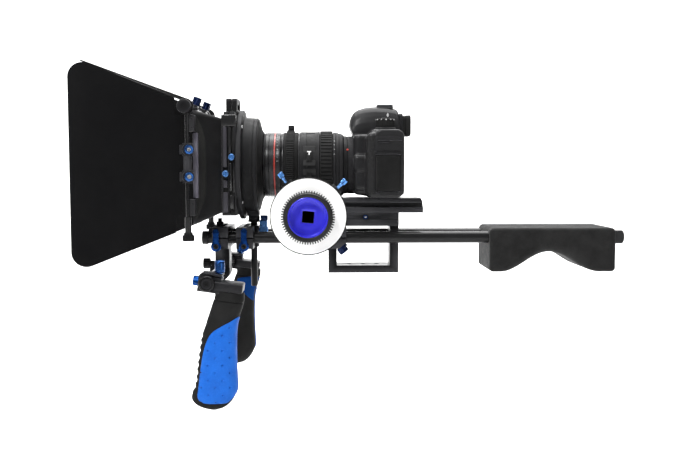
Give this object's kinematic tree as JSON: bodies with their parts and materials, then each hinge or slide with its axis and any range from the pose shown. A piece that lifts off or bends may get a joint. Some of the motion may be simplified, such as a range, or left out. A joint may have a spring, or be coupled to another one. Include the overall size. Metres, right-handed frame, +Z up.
{
  "type": "cinema camera rig",
  "caption": "Shoulder camera rig: rails, riser, camera and lens, geared follow focus, matte box with hinged flags, two tilting handles and a foam shoulder pad.",
  "frame": {"origin": "centre of the tripod thread in the bottom face of the riser frame", "axes": "+X along the rods towards the operator's shoulder, so the lens looks along -X; -Y is the operator's left; +Z is up"},
  "size_m": [0.6694, 0.298, 0.4093],
  "materials": {
    "rod_black": "black anodised, satin",
    "knob_black": "moulded, knurled",
    "frame_black": "black anodised, matt",
    "blue_anodised": "blue anodised, satin",
    "grey_metal": "dark grey anodised",
    "steel": "turned",
    "grip_black": "moulded rubber",
    "grip_blue": "blue moulded rubber with raised dots",
    "foam_black": "closed-cell foam",
    "matte_black": "moulded, fine grain",
    "flag_black": "flat black sheet",
    "seal_rubber": "soft rubber",
    "disc_white": "satin writing surface",
    "camera_black": "fine crackle paint",
    "lens_black": "fine crackle paint",
    "lens_glass": "coated glass"
  },
  "bodies": {
    "frame": {"left_rod": "rod_black", "right_rod": "rod_black", "rod_end_caps": "knob_black", "riser_frame": "frame_black", "riser_rod_clamps": "frame_black", "riser_thumb_screws": "blue_anodised", "plate_base": "frame_black"},
    "plate_screw": {"plate_lock_screw": "blue_anodised"},
    "handle_unit": {"handle_bracket": "grey_metal", "cross_arm": "rod_black"},
    "bracket_lever": {"bracket_lever": "blue_anodised"},
    "arm_knob": {"arm_lock_knob": "knob_black"},
    "left_handle": {"left_handle_mount": "frame_black", "left_grip": "grip_black", "left_grip_rubber": "grip_blue"},
    "left_screw": {"left_handle_screw": "blue_anodised"},
    "left_knob": {"left_handle_knob": "blue_anodised"},
    "right_handle": {"right_handle_mount": "frame_black", "right_grip": "grip_black", "right_grip_rubber": "grip_blue"},
    "right_screw": {"right_handle_screw": "blue_anodised"},
    "right_knob": {"right_handle_knob": "blue_anodised"},
    "pad": {"pad_core": "frame_black", "pad_foam": "foam_black"},
    "matte_foot": {"matte_clamp": "frame_black"},
    "matte_lever": {"matte_lever": "blue_anodised"},
    "post_lever": {"post_lock_lever": "blue_anodised"},
    "matte_box": {"matte_post": "steel", "lens_donut": "seal_rubber", "matte_housing": "matte_black", "filter_stages": "matte_black", "tray_lock_screws": "blue_anodised", "hood": "matte_black", "hinge_brackets": "frame_black", "flag_hinge_rods": "rod_black"},
    "front_tray": {"front_tray": "matte_black"},
    "rear_tray": {"rear_tray": "matte_black"},
    "top_flag": {"top_flag": "flag_black"},
    "left_flag": {"left_flag": "flag_black"},
    "right_flag": {"right_flag": "flag_black"},
    "focus_unit": {"focus_body": "frame_black", "hard_stop_screws": "blue_anodised", "focus_bearings": "steel"},
    "wheel": {"wheel_shaft": "steel", "wheel_hub": "blue_anodised", "wheel_knob": "knob_black", "marking_disc": "disc_white"},
    "drive": {"drive_gear": "steel"},
    "camera": {"camera_plate": "frame_black", "camera_body": "camera_black", "camera_back": "camera_black", "eyecup": "seal_rubber", "lens_barrel": "lens_black", "lens_glass": "lens_glass"},
    "mode_dial": {"mode_dial": "camera_black"},
    "rear_dial": {"rear_dial": "camera_black"},
    "shutter": {"shutter_button": "camera_black"},
    "terminal_door": {"terminal_cover": "seal_rubber"},
    "focus_ring": {"focus_ring": "lens_black"},
    "zoom_ring": {"zoom_ring": "lens_black"}
  },
  "joints": [
    {"name": "plate_lock_turn", "type": "hinge", "parent": "frame", "child": "plate_screw", "pos_m": [0.0023, -0.025, 0.072], "axis": [0, 1, 0], "range_deg": [-90, 90]},
    {"name": "handle_slide", "type": "slide", "parent": "frame", "child": "handle_unit", "axis": [1, 0, 0], "range_m": [-0.004, 0]},
    {"name": "bracket_lever_turn", "type": "hinge", "parent": "handle_unit", "child": "bracket_lever", "pos_m": [-0.1847, -0.046, 0.0364], "axis": [0, 1, 0], "range_deg": [0, 90]},
    {"name": "arm_knob_turn", "type": "hinge", "parent": "handle_unit", "child": "arm_knob", "pos_m": [-0.2, 0, 0.01075], "axis": [1, 0, 0], "continuous": true},
    {"name": "left_handle_tilt", "type": "hinge", "parent": "handle_unit", "child": "left_handle", "pos_m": [-0.1843, -0.123, 0.002], "axis": [0, 1, 0], "range_deg": [-45, 60]},
    {"name": "left_screw_turn", "type": "hinge", "parent": "left_handle", "child": "left_screw", "pos_m": [-0.1955, -0.123, 0.0033], "axis": [0.9903, 0, -0.1392], "range_deg": [-180, 180]},
    {"name": "left_knob_turn", "type": "hinge", "parent": "left_handle", "child": "left_knob", "pos_m": [-0.1708, -0.123, 0.01], "axis": [0, 0, 1], "continuous": true},
    {"name": "right_handle_tilt", "type": "hinge", "parent": "handle_unit", "child": "right_handle", "pos_m": [-0.1843, 0.123, 0.002], "axis": [0, 1, 0], "range_deg": [-45, 60]},
    {"name": "right_screw_turn", "type": "hinge", "parent": "right_handle", "child": "right_screw", "pos_m": [-0.1955, 0.123, 0.0033], "axis": [0.9903, 0, -0.1392], "range_deg": [-180, 180]},
    {"name": "right_knob_turn", "type": "hinge", "parent": "right_handle", "child": "right_knob", "pos_m": [-0.1708, 0.123, 0.01], "axis": [0, 0, 1], "continuous": true},
    {"name": "pad_slide", "type": "slide", "parent": "frame", "child": "pad", "axis": [1, 0, 0], "range_m": [-0.07, 0]},
    {"name": "matte_slide", "type": "slide", "parent": "frame", "child": "matte_foot", "axis": [1, 0, 0], "range_m": [-0.008, 0]},
    {"name": "matte_lever_turn", "type": "hinge", "parent": "matte_foot", "child": "matte_lever", "pos_m": [-0.15, -0.046, 0.0364], "axis": [0, 1, 0], "range_deg": [0, 90]},
    {"name": "post_lever_turn", "type": "hinge", "parent": "matte_foot", "child": "post_lever", "pos_m": [-0.13, 0, 0.055], "axis": [1, 0, 0], "range_deg": [0, 90]},
    {"name": "matte_height", "type": "slide", "parent": "matte_foot", "child": "matte_box", "axis": [0, 0, 1], "range_m": [-0.004, 0.02]},
    {"name": "front_tray_lift", "type": "slide", "parent": "matte_box", "child": "front_tray", "axis": [0, 0, 1], "range_m": [0, 0.11]},
    {"name": "rear_tray_lift", "type": "slide", "parent": "matte_box", "child": "rear_tray", "axis": [0, 0, 1], "range_m": [0, 0.11]},
    {"name": "top_flag_hinge", "type": "hinge", "parent": "matte_box", "child": "top_flag", "pos_m": [-0.2125, 0, 0.206], "axis": [0, 1, 0], "range_deg": [-105, 26]},
    {"name": "left_flag_hinge", "type": "hinge", "parent": "matte_box", "child": "left_flag", "pos_m": [-0.21, -0.102, 0.137], "axis": [0, 0, 1], "range_deg": [-20, 70]},
    {"name": "right_flag_hinge", "type": "hinge", "parent": "matte_box", "child": "right_flag", "pos_m": [-0.21, 0.102, 0.137], "axis": [0, 0, 1], "range_deg": [-70, 20]},
    {"name": "focus_slide", "type": "slide", "parent": "frame", "child": "focus_unit", "axis": [1, 0, 0], "range_m": [-0.002, 0.002]},
    {"name": "focus_wheel", "type": "hinge", "parent": "focus_unit", "child": "wheel", "pos_m": [-0.068, -0.12, 0.078], "axis": [0, 1, 0], "range_deg": [-128, 128]},
    {"name": "drive_gear_turn", "type": "hinge", "parent": "focus_unit", "child": "drive", "pos_m": [-0.095, 0, 0.078], "axis": [1, 0, 0], "range_deg": [-128, 128]},
    {"name": "camera_slide", "type": "slide", "parent": "frame", "child": "camera", "axis": [1, 0, 0], "range_m": [0, 0.02]},
    {"name": "mode_dial_turn", "type": "hinge", "parent": "camera", "child": "mode_dial", "pos_m": [0.026, -0.045, 0.19], "axis": [0, 0, 1], "continuous": true},
    {"name": "rear_dial_turn", "type": "hinge", "parent": "camera", "child": "rear_dial", "pos_m": [0.05, 0.055, 0.133], "axis": [1, 0, 0], "continuous": true},
    {"name": "shutter_press", "type": "slide", "parent": "camera", "child": "shutter", "axis": [0, 0, 1], "range_m": [-0.0012, 0], "stiffness_N_per_m": 400, "springref_m": 0.0006},
    {"name": "terminal_door_swing", "type": "hinge", "parent": "camera", "child": "terminal_door", "pos_m": [0.0143, -0.0662, 0.128], "axis": [0, 0, 1], "range_deg": [-120, 0]},
    {"name": "lens_focus_turn", "type": "hinge", "parent": "camera", "child": "focus_ring", "pos_m": [-0.095, 0, 0.138], "axis": [1, 0, 0], "range_deg": [-50, 50]},
    {"name": "zoom_turn", "type": "hinge", "parent": "camera", "child": "zoom_ring", "pos_m": [-0.047, 0, 0.138], "axis": [1, 0, 0], "range_deg": [0, 70]}
  ],
  "couplings": [
    {"joint": "drive_gear_turn", "follows": "focus_wheel", "ratio": -1},
    {"joint": "lens_focus_turn", "follows": "focus_wheel", "ratio": 0.38889}
  ]
}
